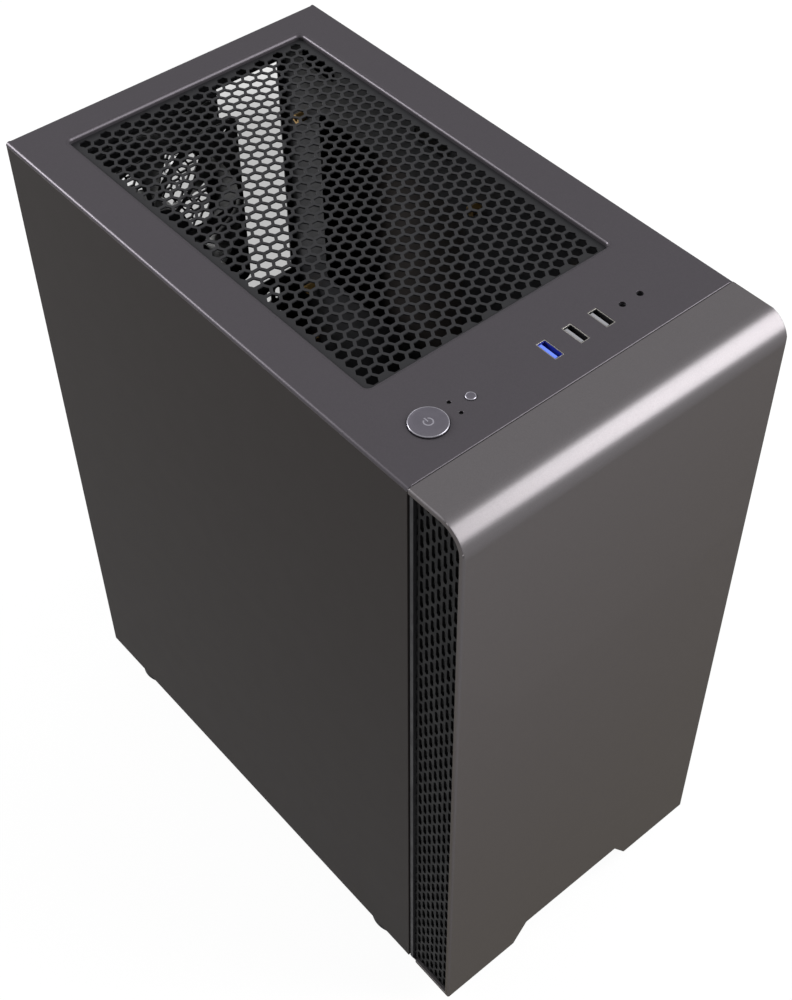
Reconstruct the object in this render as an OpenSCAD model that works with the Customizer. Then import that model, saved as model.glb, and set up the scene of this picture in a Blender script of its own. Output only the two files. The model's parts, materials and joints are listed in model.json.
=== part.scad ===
// Micro-ATX mini-tower case: front bezel with side vents, top panel with a recessed honeycomb,
// steel chassis with its trays and cages, rear fan and front controls.
// +X is the right-hand side seen from the front, -Y the front, +Z up.
// The origin is on the floor, at the centre of the case's outer box.

/* [Case] */
// Width over the side panels
case_w = 210; // [208:1:214]
// Depth from the front face to the rear edge of the panels
case_d = 366; // [362:1:374]
// Height of the panels, without the feet
body_h = 437; // [435:1:442]
// Height of the feet
foot_h = 14; // [12:0.5:18]
// Thickness of the steel sheet
sheet = 0.8; // [0.6:0.1:1]

/* [Front bezel] */
// Depth of the bezel along the top
bezel_d = 37; // [36:0.5:38]
// Radius of the curve between the front and the top
curve_r = 16; // [12:1:20]
// Wall of the bezel shell
bezel_wall = 3.2; // [2.8:0.1:3.4]
// Height of the cut-out at the bottom of the front
cutout_h = 15.5; // [10:0.5:20]

/* [Vents] */
// Spacing of the columns of vent slots
slot_pitch = 3.94; // [3.8:0.02:4]
// Spacing of the slots within one column
slot_rise = 10.76; // [10:0.02:12]
// Width of one slot
slot_w = 2.5; // [2:0.1:2.8]
// Length of one slot
slot_l = 9; // [7:0.1:9.5]

/* [Top honeycomb] */
// Distance between neighbouring holes
hex_pitch = 7.5; // [7:0.1:9]
// Size of a hole across its flats
hex_flats = 5.8; // [5:0.1:6.5]
// Depth of the honeycomb below the top
recess = 3; // [2.4:0.1:3]

/* [Front controls] */
// Diameter of the power button
power_d = 19.5; // [16:0.5:20]
// Travel of the power button
power_travel = 1.2; // [0.8:0.1:1.2]
// Diameter of the reset button
reset_d = 5.5; // [4:0.1:6]
// Travel of the reset button
reset_travel = 0.8; // [0.5:0.1:0.8]

/* [Rear fan] */
// Thickness of the fan
fan_t = 25; // [22:1:26]
// Number of fan blades
blade_count = 7; // [5:1:9]

/* [Side panels] */
// How far a side panel slides back to come free
panel_slide = 18; // [12:1:20]

/* [Hidden] */
$fn = 64;
eps = 0.01;
gap = 0.3;

// Outer faces. d runs back from the front face, h up from the panels' bottom edge.
knob_h = 6;
side_x = case_w / 2;
front_y = -(case_d + knob_h) / 2;
rear_y = front_y + case_d;
top_z = foot_h + body_h;
function y_at(d) = front_y + d;
function z_at(h) = foot_h + h;

// Chassis planes
plate_y = y_at(33.6);
plate_in = plate_y + sheet;
rear_in = rear_y - 1 - sheet;
rail_x = side_x - 10.2;
pan_z = foot_h + 1.2;
pan_top = pan_z + sheet;
mesh_t = 0.8;
mesh_top = top_z - recess;
rail_z = mesh_top - mesh_t;
rail_drop = 22;
leg_w = 14.8;
tray_x = 78.7;
shroud_top = z_at(97);
shroud_x = side_x - 15;
panel_y = y_at(bezel_d + gap);
panel_top = top_z - 2.3;
hook_low = pan_z + 11;
hook_high = rail_z - 12;
hook_stations = [y_at(70), y_at(190), y_at(310)];

// Top panel
top_t = 1.2;
top_y = y_at(bezel_d + gap);
top_under = top_z - top_t;
lip_h = 2.1;
window = [157.5, 250];
window_y = y_at(221);
window_r = 3;

// Vent inserts: depth, floor over the bezel's bottom edge and solid rim
vent_d = 33.2;
vent_floor = 2.5;
vent_rim = 0.8;

// Clips of the front bezel
clip_x = 84;
clip_h = [35, 215, 395];

// Front controls, as [x, d]
power_at = [-72, 61];
reset_at = [-46.2, 61.3];
lens_at = [[-56.2, 65], [-56.4, 56.4]];
usb_at = [[3, 60.4], [19.9, 60.4], [37, 60.4]];
jack_at = [[51.3, 60.4], [63.4, 60.4]];
board_z = top_under - 12.8;
board_t = 1.6;
board_posts = [for (x = [-35, 72], d = [47.5, 75]) [x, d]];
switch_h = 3.5;
plunger_h = 0.8;
usb_in = [5.12, 12.5];
usb_wall = 0.3;
jack_r = 1.8;

// Motherboard: the rear column of holes, and the other holes measured from it
hole_columns = [0, 154.94, 227.33];
hole_rows = [0, 157.48, 203.2];
first_hole_y = rear_in - 17.7;
first_hole_z = z_at(403.8);
rear_hole_drop = 22.86;
standoff_h = 6.5;
standoffs_at = concat(
    [[first_hole_y, first_hole_z - rear_hole_drop]],
    [for (c = [1, 2]) [first_hole_y - hole_columns[c], first_hole_z]],
    [for (r = [1, 2], c = [0:2]) [first_hole_y - hole_columns[c], first_hole_z - hole_rows[r]]]
);

// Rear openings
io_size = [44.45, 158.75];
io_x = 29.6;
io_z = z_at(253);
slot_x = [-34, 72];
slot_open_h = 12.6;
function slot_z(k) = z_at(239.5) - k * 20.32;
ledge_x = -40;
fan_size = 120;
fan_holes = 105;
fan_r = 57;
guard_t = 1;
fan_x = -35;
fan_z = z_at(349);
psu_size = [150, 86];
psu_z = pan_top + 3;
psu_holes = [[6, 80], [144, 80], [6, 16], [120, 6]];
front_fans = [z_at(352), z_at(226)];
thumb_x = side_x - 6.9;
thumb_h = [395, 45];
thumb_r = 1.7;
thumb_knob_r = 4.2;

// Drive cage in the front of the basement
cage_x = [-66, 86];
cage_y = [y_at(52), y_at(160)];
cage_h = 84;
bay_floor = [3, 43];
ssd_holes = [for (y = [-38.3, 38.3], z = [-30.86, 30.86]) [y, z]];

// Feet
foot_r = 17;
foot_x = side_x - 18.5;
foot_d = [69.5, 328.3];

// Filter below the power supply bay
filter_x = 60;
filter_d = [205, 362];
filter_z = pan_z - 4;
filter_t = 3.6;

// Finishes
body_grey = [0.33, 0.32, 0.33];
panel_grey = [0.26, 0.24, 0.24];
chassis_black = [0.09, 0.09, 0.1];
plastic_black = [0.06, 0.06, 0.065];
rubber_black = [0.04, 0.04, 0.045];
bright_metal = [0.72, 0.72, 0.74];
brass = [0.75, 0.6, 0.3];
usb_blue = [0.1, 0.22, 0.7];
board_green = [0.05, 0.16, 0.1];

// A plate of thickness t whose outline is drawn in X and Z, from y back
module plate_y(y, t) { translate([0, y + t, 0]) rotate([90, 0, 0]) linear_extrude(t) children(); }

// A plate of thickness t whose outline is drawn in Y and Z, from x to the right
module plate_x(x, t) { translate([x, 0, 0]) rotate([90, 0, 90]) linear_extrude(t) children(); }

// A plate of thickness t whose outline is drawn in X and Y, from z up
module plate_z(z, t) { translate([0, 0, z]) linear_extrude(t) children(); }

module box(low, high) { translate(low) cube(high - low); }

module rect(low, high) { translate(low) square(high - low); }

module rounded(size, r) {
    square([size.x - 2 * r, size.y], center = true);
    square([size.x, size.y - 2 * r], center = true);
    for (x = [-1, 1], y = [-1, 1]) translate([x * (size.x / 2 - r), y * (size.y / 2 - r)]) circle(r);
}

module both_sides() {
    children();
    mirror([1, 0, 0]) children();
}

// At a point [x, d] of the top
module spot(p) { translate([p.x, y_at(p.y)]) children(); }
module at_top(p, z) { translate([0, 0, z]) spot(p) children(); }

// A plane outline mirrored about its Y axis
module both_halves() {
    children();
    mirror([1, 0]) children();
}

module hole_square(spacing, r) {
    for (x = [-1, 1], y = [-1, 1]) translate([x, y] * spacing / 2) circle(r);
}

// ---------------------------------------------------------------- chassis

module hook_slots(z) {
    for (y = hook_stations) translate([0, y, z - 1]) cube([rail_x + 1, panel_slide + 14, 2]);
}

module filter_guide() {
    wall_x = filter_x + 0.4;
    box([wall_x, y_at(filter_d[0]), filter_z - sheet], [wall_x + sheet, y_at(filter_d[1]), pan_z]);
    box([filter_x - 3, y_at(filter_d[0]), filter_z - sheet], [wall_x, y_at(filter_d[1]), filter_z - 0.2]);
}

module floor_pan() color(chassis_black) difference() {
    union() {
        plate_z(pan_z, sheet) difference() {
            rect([-rail_x, plate_in], [rail_x, rear_in]);
            for (x = [-45:10:45], d = [215, 262, 309]) rect([x - 2, y_at(d)], [x + 2, y_at(d + 38)]);
        }
        both_sides() {
            box([rail_x - sheet, plate_in, pan_top], [rail_x, rear_in, pan_top + rail_drop]);
            filter_guide();
        }
        for (y = [plate_in, rear_in - sheet])
            box([-rail_x + sheet, y, pan_top], [rail_x - sheet, y + sheet, pan_top + 10]);
    }
    both_sides() difference() {
        hook_slots(hook_low);
        box([-1, front_y, 0], [rail_x - 2, rear_y, top_z]);
    }
}

module front_plate() color(chassis_black) {
    plate_y(plate_y, sheet) difference() {
        rect([-side_x + 0.4, pan_z], [side_x - 0.4, rail_z]);
        for (z = front_fans) translate([0, z]) {
            circle(fan_r);
            hole_square(fan_holes, 2.2);
        }
        for (x = [-56:14:56]) rect([x - 2.5, z_at(30)], [x + 2.5, z_at(80)]);
        both_halves() for (h = clip_h) translate([clip_x, z_at(h)]) square([8, 7], center = true);
    }
    both_sides() box([side_x - 0.4 - sheet, plate_in, pan_z], [side_x - 0.4, y_at(35.9), rail_z]);
    box([-rail_x + leg_w + 1, plate_in, rail_z - sheet], [tray_x - 1, plate_in + 9, rail_z]);
}

module rear_panel() color(chassis_black) {
    plate_y(rear_in, sheet) difference() {
        rect([-side_x + 1.6, pan_z], [side_x - 1.6, top_z - 6.8]);
        rect([io_x, io_z], [io_x, io_z] + io_size);
        translate([fan_x, fan_z]) {
            circle(fan_r);
            hole_square(fan_holes, 2.2);
        }
        for (k = [0:3]) translate([slot_x[0], slot_z(k) - slot_open_h / 2])
            square([slot_x[1] - slot_x[0], slot_open_h]);
        translate([-psu_size.x / 2, psu_z]) {
            rect([11.5, 11.5], [138.5, 76]);
            for (p = psu_holes) translate(p) circle(1.9);
        }
        both_halves() for (h = thumb_h) translate([thumb_x, z_at(h)]) circle(thumb_r + 0.1);
    }
    box([-90, rear_in - 9, top_z - 6.8 - sheet], [tray_x - 2, rear_in, top_z - 6.8]);
}

module upper_rail_left() color(chassis_black) mirror([1, 0, 0]) upper_rail();
module upper_rail_right() color(chassis_black) upper_rail();
module upper_rail() {
    box([rail_x - leg_w, plate_in, rail_z - sheet], [rail_x, rear_in, rail_z]);
    difference() {
        box([rail_x - sheet, plate_in, rail_z - rail_drop], [rail_x, rear_in, rail_z - sheet]);
        hook_slots(hook_high);
    }
}

module tray_cutouts() {
    translate([y_at(267), z_at(327)]) rounded([130, 128], 6);
    for (h = [330, 215]) translate([y_at(66), z_at(h)]) rounded([26, 62], 8);
    for (d = [120, 190, 260]) translate([y_at(d), z_at(112)]) rounded([34, 12], 5);
    for (d = [230, 330]) translate([y_at(d), z_at(424)]) rounded([30, 10], 4);
}

module motherboard_tray() color(chassis_black) {
    plate_x(tray_x, sheet) difference() {
        rect([plate_in, shroud_top], [rear_in, rail_z - sheet]);
        tray_cutouts();
        for (p = standoffs_at) translate(p) circle(1.7);
    }
    box([tray_x + sheet, plate_in, rail_z - 2 * sheet], [tray_x + 12, rear_in, rail_z - sheet]);
    box([tray_x + sheet, plate_in, shroud_top], [tray_x + 10, rear_in, shroud_top + sheet]);
}

module psu_shroud() color(chassis_black) {
    plate_z(shroud_top - sheet, sheet) difference() {
        rect([-shroud_x, plate_in], [shroud_x, rear_in]);
        for (x = [-60:10:50], d = [235, 280]) rect([x - 2.5, y_at(d)], [x + 2.5, y_at(d + 36)]);
        rect([tray_x - 45, y_at(180)], [tray_x - 15, y_at(212)]);
    }
    plate_x(-shroud_x, sheet) difference() {
        rect([plate_in + sheet, pan_top], [rear_in - sheet, shroud_top - sheet]);
        for (d = [215:12:340]) translate([y_at(d), z_at(50)]) rounded([5, 50], 2.4);
    }
    box([-shroud_x + sheet, plate_in + 4, pan_top], [-shroud_x + 10, rear_in - 4, pan_top + sheet]);
    box([shroud_x - sheet, plate_in, shroud_top - 9], [shroud_x, rear_in, shroud_top - sheet]);
}

module psu_pads() color(rubber_black)
    for (x = [-55, 55], d = [212, 345]) translate([x, y_at(d), pan_top]) plate_z(0, 3) rounded([24, 14], 3);

module standoffs() color(brass)
    for (p = standoffs_at) translate([tray_x, p.x, p.y]) rotate([0, -90, 0]) difference() {
        union() {
            cylinder(h = standoff_h, d = 5.5 / cos(30), $fn = 6);
            translate([0, 0, -sheet - 3]) cylinder(h = sheet + 3 + eps, r = 1.65, $fn = 32);
        }
        translate([0, 0, standoff_h - 5]) cylinder(h = 6, r = 1.5, $fn = 32);
    }

module cable_grommets() color(rubber_black)
    for (h = [330, 215]) translate([0, y_at(66), z_at(h)]) {
        plate_x(tray_x - 1.6, 1.6) difference() {
            rounded([32, 68], 11);
            rounded([20, 56], 5);
        }
        plate_x(tray_x - 0.8, 0.8) difference() {
            rounded([21, 57], 5);
            square([0.8, 50], center = true);
            for (z = [-20:8:20]) translate([0, z]) square([16, 0.8], center = true);
        }
    }

module rivet(at, turn) { translate(at) rotate(turn) cylinder(h = 0.7, r1 = 2.4, r2 = 1.7, $fn = 32); }

module chassis_rivets() color(bright_metal) {
    for (x = [-82, -40, 84]) rivet([x, rear_y - 1, pan_top + 5], [-90, 0, 0]);
    for (x = [-70, 0, 60]) rivet([x, rear_y - 1, top_z - 9.6], [-90, 0, 0]);
    for (x = [-90, 90], d = [70, 150, 300]) rivet([x, y_at(d), rail_z], [0, 0, 0]);
}

// ---------------------------------------------------------------- drives

module cage_wall(y) {
    plate_y(y, sheet) difference() {
        rect([cage_x[0], pan_top], [cage_x[1], pan_top + cage_h]);
        for (x = [-36, 10, 56], z = bay_floor) translate([x, pan_top + z + 20]) rounded([36, 16], 5);
    }
}

module drive_cage() color(chassis_black) {
    for (y = [cage_y[0], cage_y[1] - sheet]) cage_wall(y);
    front = cage_y[0] + sheet;
    rear = cage_y[1] - sheet;
    box([cage_x[0], front, pan_top + cage_h - sheet], [cage_x[1], rear, pan_top + cage_h]);
    for (z = bay_floor, y = [[front, front + 4.2], [rear - 4.2, rear]])
        box([cage_x[0], y[0], pan_top + z - sheet], [cage_x[1], y[1], pan_top + z]);
    box([cage_x[0] + 5, cage_y[0] - 8, pan_top], [cage_x[1] - 5, cage_y[0], pan_top + sheet]);
    box([cage_x[0] + 5, cage_y[1], pan_top], [cage_x[1] - 5, cage_y[1] + 8, pan_top + sheet]);
}

// A plastic tray that holds one 3.5 inch drive and slides in along X
module drive_sled(floor) {
    low = [cage_x[0] + 2, cage_y[0] + sheet + 0.5];
    high = [cage_x[1], cage_y[1] - sheet - 0.5];
    z = pan_top + floor;
    difference() {
        box([low.x, low.y, z], [high.x, high.y, z + 14]);
        box([low.x - 1, low.y + 2, z + 2], [high.x - 3, high.y - 2, z + 15]);
        box([low.x + 20, low.y + 18, z - 1], [high.x - 30, high.y - 18, z + 3]);
    }
    plate_x(high.x - 3, 3) difference() {
        rect([low.y, z], [high.y, z + 34]);
        translate([(low.y + high.y) / 2, z + 22]) rounded([60, 12], 5);
    }
}

module drive_sled_lower() color(plastic_black) drive_sled(bay_floor[0]);
module drive_sled_upper() color(plastic_black) drive_sled(bay_floor[1]);

module ssd_bracket() color(chassis_black) {
    spacer = 5;
    translate([tray_x + sheet, y_at(140), z_at(165)]) {
        plate_x(spacer, sheet) difference() {
            rounded([104, 78], 3);
            for (p = ssd_holes) translate(p) circle(1.7);
            rounded([56, 40], 8);
        }
        for (y = [-48, 48], z = [-30, 30]) translate([0, y, z]) rotate([0, 90, 0])
            cylinder(h = spacer, r = 2.6, $fn = 32);
    }
}

// ---------------------------------------------------------------- expansion slots

module slot_cover(k) {
    z = slot_z(k);
    plate_y(rear_in - sheet, sheet) difference() {
        rect([ledge_x - sheet, z - 9.2], [slot_x[1] + 4, z + 9.2]);
        for (x = [-28:7.4:68]) translate([x, z]) rounded([4, 9], 1.95);
    }
    plate_x(ledge_x - sheet, sheet) difference() {
        rect([rear_in - 12, z - 9.2], [rear_in - sheet, z + 9.2]);
        translate([rear_in - 7, z]) circle(2);
    }
}

module slot_cover_1() color(chassis_black) slot_cover(0);
module slot_cover_2() color(chassis_black) slot_cover(1);
module slot_cover_3() color(chassis_black) slot_cover(2);
module slot_cover_4() color(chassis_black) slot_cover(3);

module slot_ledge() color(chassis_black) {
    low = slot_z(3.5) - 10;
    high = slot_z(-0.5) + 3;
    plate_x(ledge_x, sheet) difference() {
        rect([rear_in - 12, low], [rear_in, high]);
        rect([rear_in - sheet - 0.2, low + 9], [rear_in + 1, high - 2]);
        for (k = [0:3]) translate([rear_in - 7, slot_z(k)]) circle(1.8);
    }
    box([ledge_x + sheet, rear_in - sheet, low], [ledge_x + 10, rear_in, low + 8.5]);
    box([ledge_x + sheet, rear_in - sheet, high - 1.7], [ledge_x + 10, rear_in, high]);
}

// Cross recess of a screw head, from z up
module cross_recess(size, z) {
    for (turn = [0, 90]) rotate(turn) translate([-size / 2, -0.6, z]) cube([size, 1.2, 3]);
}

module slot_screws() color(bright_metal)
    for (k = [0:3]) translate([ledge_x - sheet, rear_in - 7, slot_z(k)]) rotate([0, 90, 0]) {
        translate([0, 0, -2.5]) difference() {
            cylinder(h = 2.5, r = 3.6);
            cross_recess(5.2, -2);
        }
        translate([0, 0, -eps]) cylinder(h = 6, r = 1.7);
    }

// ---------------------------------------------------------------- rear fan, along its own axis

module at_fan() { translate([fan_x, rear_in - fan_t, fan_z]) rotate([-90, 0, 0]) children(); }

module fan_frame() color(plastic_black) at_fan() {
    flange_t = 3.5;
    difference() {
        union() {
            for (z = [0, fan_t - flange_t]) plate_z(z, flange_t) rounded([fan_size, fan_size], 5);
            cylinder(h = fan_t, r = fan_r + 2);
        }
        translate([0, 0, -1]) cylinder(h = fan_t + 2, r = fan_r + 0.4);
        translate([0, 0, -1]) linear_extrude(fan_t + 2) hole_square(fan_holes, 2.15);
    }
    difference() {
        union() {
            translate([0, 0, fan_t - 4]) cylinder(h = 4, r = 21);
            translate([0, 0, 6]) cylinder(h = fan_t - 6, r = 4);
            translate([0, 0, 9]) cylinder(h = fan_t - 12, r = 15);
            for (a = [45:90:315]) rotate(a) translate([20, -3, fan_t - 4]) cube([fan_r - 19, 6, 4]);
        }
        translate([0, 0, 5]) cylinder(h = fan_t - 8, r = 1.6);
    }
}

module fan_rotor() color(plastic_black) at_fan() {
    difference() {
        translate([0, 0, 1]) cylinder(h = fan_t - 6, r = 20.5);
        translate([0, 0, 3]) cylinder(h = fan_t, r = 18.5);
    }
    translate([0, 0, 2]) cylinder(h = fan_t - 7, r = 1.55);
    for (k = [0:blade_count - 1]) rotate(k * 360 / blade_count) fan_blade();
}

// A sickle-shaped blade that twists along the fan's axis
module fan_blade() {
    translate([0, 0, 2]) linear_extrude(fan_t - 8, twist = -34, slices = 5) difference() {
        intersection() {
            translate([34, 4]) circle(r = 24, $fn = 24);
            circle(r = fan_r - 1.4, $fn = 72);
            translate([34, -46]) circle(r = 52.5, $fn = 48);
        }
        translate([34, -48]) circle(r = 51.3, $fn = 48);
        circle(r = 19.8, $fn = 32);
    }
}

module fan_guard() color(chassis_black) translate([fan_x, rear_y - 1, fan_z]) rotate([-90, 0, 0])
    linear_extrude(guard_t) difference() {
        pitch = hex_flats + 1.2;
        rounded([fan_size - 4, fan_size - 4], 5);
        hole_square(fan_holes, 2.3);
        for (i = [-9:9], j = [-9:9]) {
            at = [i * cos(30), j + (i % 2) / 2] * pitch;
            if (norm(at) < fan_r - 4) translate(at) hex_hole();
        }
    }

module fan_screws() color(chassis_black)
    translate([fan_x, rear_y - 1 + guard_t, fan_z]) rotate([-90, 0, 0])
        for (x = [-1, 1], y = [-1, 1]) translate([x, y, 0] * fan_holes / 2) {
            difference() {
                cylinder(h = 2.2, r = 4);
                cross_recess(5.6, 1);
            }
            translate([0, 0, -7]) cylinder(h = 7 + eps, r = 2);
        }

// ---------------------------------------------------------------- top

// Section of the folded top sheet across the case
module top_section(inset) intersection() {
    r = 2;
    rect([-side_x, top_z - lip_h - inset], [side_x, top_z]);
    both_halves() {
        rect([-eps, rail_z], [side_x - r, top_z - inset]);
        rect([-eps, rail_z], [side_x - inset, top_z - r]);
        translate([side_x - r, top_z - r]) circle(r - inset);
    }
}

// Every opening of the top sheet
module top_openings() {
    translate([0, window_y]) rounded(window, window_r);
    spot(power_at) circle(power_d / 2 + gap);
    spot(reset_at) circle(reset_d / 2 + 0.2);
    for (p = lens_at) spot(p) circle(1.1, $fn = 32);
    for (p = usb_at) spot(p) square(usb_in + [1, 1], center = true);
    for (p = jack_at) spot(p) circle(jack_r + 0.1);
}

module top_panel() color(body_grey) {
    collar_z = rail_z + 0.2;
    collar_r = power_d / 2 + 1.45;
    difference() {
        union() {
            plate_y(top_y, rear_y - top_y) difference() {
                top_section(0);
                top_section(top_t);
            }
            plate_z(mesh_top, top_under - mesh_top + eps) translate([0, window_y])
                rounded(window + [2, 2] * top_t, window_r + top_t);
            plate_z(collar_z, top_under - collar_z + eps) spot(power_at) circle(collar_r + 1);
        }
        plate_z(rail_z - 1, top_z) top_openings();
        plate_z(rail_z - 1, top_under - rail_z + 1) spot(power_at) circle(collar_r);
    }
    lip_x = side_x - top_t + eps;
    box([-lip_x, rear_y - top_t, top_z - lip_h], [lip_x, rear_y, top_under + eps]);
    box([8 - side_x, rear_y - top_t, top_z - 6.4], [side_x - 8, rear_y, top_z - lip_h + eps]);
    for (x = [-87, 87], d = [45, 86]) at_top([x, d], rail_z) cylinder(h = top_under - rail_z + eps, r = 3);
    for (p = board_posts) at_top(p, board_z + board_t)
        cylinder(h = top_under - board_z - board_t + eps, r = 2.5);
}

module hex_hole() { circle(d = hex_flats / cos(30), $fn = 6); }

module top_mesh() color(chassis_black) plate_z(rail_z, mesh_t) difference() {
    column = hex_pitch * cos(30);
    columns = floor((window.x / 2 - 4.5) / column);
    rows = floor((window.y / 2 - 5) / hex_pitch);
    translate([0, window_y]) rounded(window + [14, 13], window_r);
    for (i = [-columns:columns]) {
        half = i % 2 == 0 ? 0.5 : 0;
        for (j = [half - rows:rows - half]) translate([i * column, window_y + j * hex_pitch]) hex_hole();
    }
}

// ---------------------------------------------------------------- front controls

module front_io_board() color(board_green) plate_z(board_z, board_t) difference() {
    rect([-84, y_at(44)], [76, y_at(78)]);
    for (p = board_posts) spot(p) circle(1.1, $fn = 32);
}

module usb_shells() color(bright_metal) for (p = usb_at) at_top(p, board_z + board_t)
    linear_extrude(top_z - 0.4 - board_z - board_t) difference() {
        square(usb_in + [2, 2] * usb_wall, center = true);
        square(usb_in, center = true);
    }

// The plastic floor and tongue inside one socket
module usb_tongue() {
    translate([0, 0, 1.5]) cube([usb_in.x, usb_in.y, 3], center = true);
    translate([-usb_in.x / 2 + 0.5, -5.6, 3 - eps]) cube([1.8, 11.2, 8.6]);
}

module usb3_tongue() color(usb_blue) at_top(usb_at[0], board_z + board_t) usb_tongue();

module usb2_tongues() color(plastic_black)
    for (k = [1, 2]) at_top(usb_at[k], board_z + board_t) usb_tongue();

module audio_jacks() color(plastic_black) for (p = jack_at) at_top(p, board_z + board_t) difference() {
    translate([-4.5, -5, 0]) cube([9, 10, top_under - board_z - board_t]);
    translate([0, 0, -1]) cylinder(h = 20, r = jack_r);
}

module indicator_lenses() color([0.12, 0.12, 0.13]) for (p = lens_at) at_top(p, board_z + board_t) {
    cylinder(h = top_under - board_z - board_t, r = 1.7, $fn = 32);
    cylinder(h = top_z - 1 - board_z - board_t, r = 1, $fn = 32);
}

module tact_switch() {
    translate([-3, -3, 0]) cube([6, 6, switch_h]);
    cylinder(h = switch_h + plunger_h, r = 1.75, $fn = 32);
}

module power_switch() color(plastic_black) at_top(power_at, board_z + board_t) tact_switch();
module reset_switch() color(plastic_black) at_top(reset_at, board_z + board_t) tact_switch();

// Cap, retaining flange and stem of a push button; its stem clears the switch by its travel
module push_button(at, d, proud, travel) {
    flange_z = top_under - 0.2;
    stem_z = board_z + board_t + switch_h + plunger_h + travel + 0.1;
    at_top(at, 0) {
        translate([0, 0, flange_z - eps]) cylinder(h = top_z + proud - 0.3 - flange_z + eps, d = d);
        translate([0, 0, top_z + proud - 0.3]) cylinder(h = 0.3, d1 = d, d2 = d - 0.6);
        translate([0, 0, flange_z - 1]) cylinder(h = 1, r = d / 2 + min(1.15, d / 6));
        translate([0, 0, stem_z]) cylinder(h = flange_z - stem_z - 0.5, r = d > 10 ? 2.5 : 1.2, $fn = 32);
    }
}

module power_button() color([0.36, 0.35, 0.38]) push_button(power_at, power_d, 1.1, power_travel);
module reset_button() color([0.36, 0.35, 0.38]) push_button(reset_at, reset_d, 0.6, reset_travel);

// ---------------------------------------------------------------- front bezel

// Side view of the bezel, moved in from its outer face by inset
module bezel_profile(inset) {
    rect([front_y + inset, foot_h], [y_at(bezel_d), top_z - curve_r]);
    rect([front_y + curve_r, foot_h], [y_at(bezel_d), top_z - inset]);
    translate([front_y + curve_r, top_z - curve_r]) circle(curve_r - inset);
}

module bezel_shell() {
    chamfer = 0.8;
    intersection() {
        plate_x(-side_x, case_w) difference() {
            bezel_profile(0);
            difference() {
                bezel_profile(bezel_wall);
                rect([front_y, foot_h - 1], [y_at(31), foot_h + vent_floor]);
            }
            rect([y_at(31), foot_h - 1], [y_at(bezel_d) + 1, top_z - bezel_wall]);
        }
        plate_y(front_y - 1, bezel_d + 2) polygon([
            [-side_x, foot_h - 1], [-side_x, top_z - chamfer], [-side_x + chamfer, top_z],
            [side_x - chamfer, top_z], [side_x, top_z - chamfer], [side_x, foot_h - 1]
        ]);
        plate_z(foot_h - 1, body_h + 2) polygon([
            [-side_x, y_at(bezel_d + 1)], [-side_x, y_at(chamfer)], [-side_x + chamfer, front_y],
            [side_x - chamfer, front_y], [side_x, y_at(chamfer)], [side_x, y_at(bezel_d + 1)]
        ]);
    }
}

// Cross-ribbed post with a snap that passes through the front plate
module clip_post(h) {
    wall = y_at(bezel_wall) - eps;
    translate([clip_x, 0, z_at(h)]) {
        box([-6, wall, -1], [6, plate_y - 0.2, 1]);
        box([-1, wall, -6], [1, plate_y - 0.2, 6]);
        box([-3.4, plate_y - 0.2 - eps, -2.8], [-1, plate_in + 7, 2.8]);
        box([1, plate_y - 0.2 - eps, -2.8], [3.4, plate_in + 7, 2.8]);
    }
}

module front_bezel() color(body_grey) {
    difference() {
        bezel_shell();
        plate_y(front_y - 1, 33) polygon([
            [-50.4, foot_h - 1], [-39.4, foot_h + cutout_h], [39.4, foot_h + cutout_h], [50.4, foot_h - 1]
        ]);
    }
    both_sides() {
        for (h = clip_h) clip_post(h);
        box([60, y_at(31) - eps, foot_h], [side_x - 0.8, y_at(bezel_d), pan_z - 0.3]);
    }
    inside = y_at(bezel_wall) - eps;
    for (x = [-62:31:62]) box([x - 0.8, inside, z_at(30)], [x + 0.8, y_at(9), top_z - curve_r - 4]);
    for (h = [60:100:360]) box([-76, inside, z_at(h) - 0.8], [76, y_at(9), z_at(h) + 0.8]);
}

module vent_slot() {
    polygon([[0, slot_l / 2], [slot_w / 2, slot_l / 2 - 1.2], [slot_w / 2, 1.2 - slot_l / 2],
        [0, -slot_l / 2], [-slot_w / 2, 1.2 - slot_l / 2], [-slot_w / 2, slot_l / 2 - 1.2]]);
}

// Outline of a vent insert, drawn in Y and Z and moved in by inset, at its rear edge by rear
module vent_outline(inset, rear) intersection() {
    bezel_profile(bezel_wall + inset);
    rect([front_y, foot_h + vent_floor + inset], [y_at(vent_d) - rear, top_z]);
}

// Height of the curved shell's inside above a slot column at depth d
function vent_ceiling(d) = let (inner = curve_r - bezel_wall, back = max(0, curve_r - d))
    top_z - curve_r + sqrt(inner * inner - back * back);

module vent_insert() color(plastic_black) plate_x(side_x - 3.6, 1.6) difference() {
    vent_outline(0, 0);
    intersection() {
        vent_outline(vent_rim, -1);
        for (i = [0:7], row = [-1:40]) {
            d = 5.9 + i * slot_pitch;
            z = foot_h + 9 + (row + (i % 2) / 2) * slot_rise;
            above = z + slot_l / 2 - foot_h - vent_floor - vent_rim;
            below = vent_ceiling(d - slot_w / 2) - vent_rim - z + slot_l / 2;
            if (min(above, below) > 2.5) translate([y_at(d), z]) vent_slot();
        }
    }
}

module vent_right() vent_insert();
module vent_left() mirror([1, 0, 0]) vent_insert();
module vent_filter() color([0.05, 0.05, 0.055]) plate_x(side_x - 4.4, 0.8) vent_outline(1, 1);
module vent_filter_right() vent_filter();
module vent_filter_left() mirror([1, 0, 0]) vent_filter();

// ---------------------------------------------------------------- side panels

// A hook of a side panel: it passes through the rail's slot and reaches forward behind the rail
module panel_hook(y, z) {
    box([rail_x - 3.6, y + 0.8, z - 0.5], [side_x - sheet + eps, y + 8.8, z + 0.5]);
    box([rail_x - 3.6, y - 7, z - 0.5], [rail_x - 1.4, y + 0.8 + eps, z + 0.5]);
}

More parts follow.
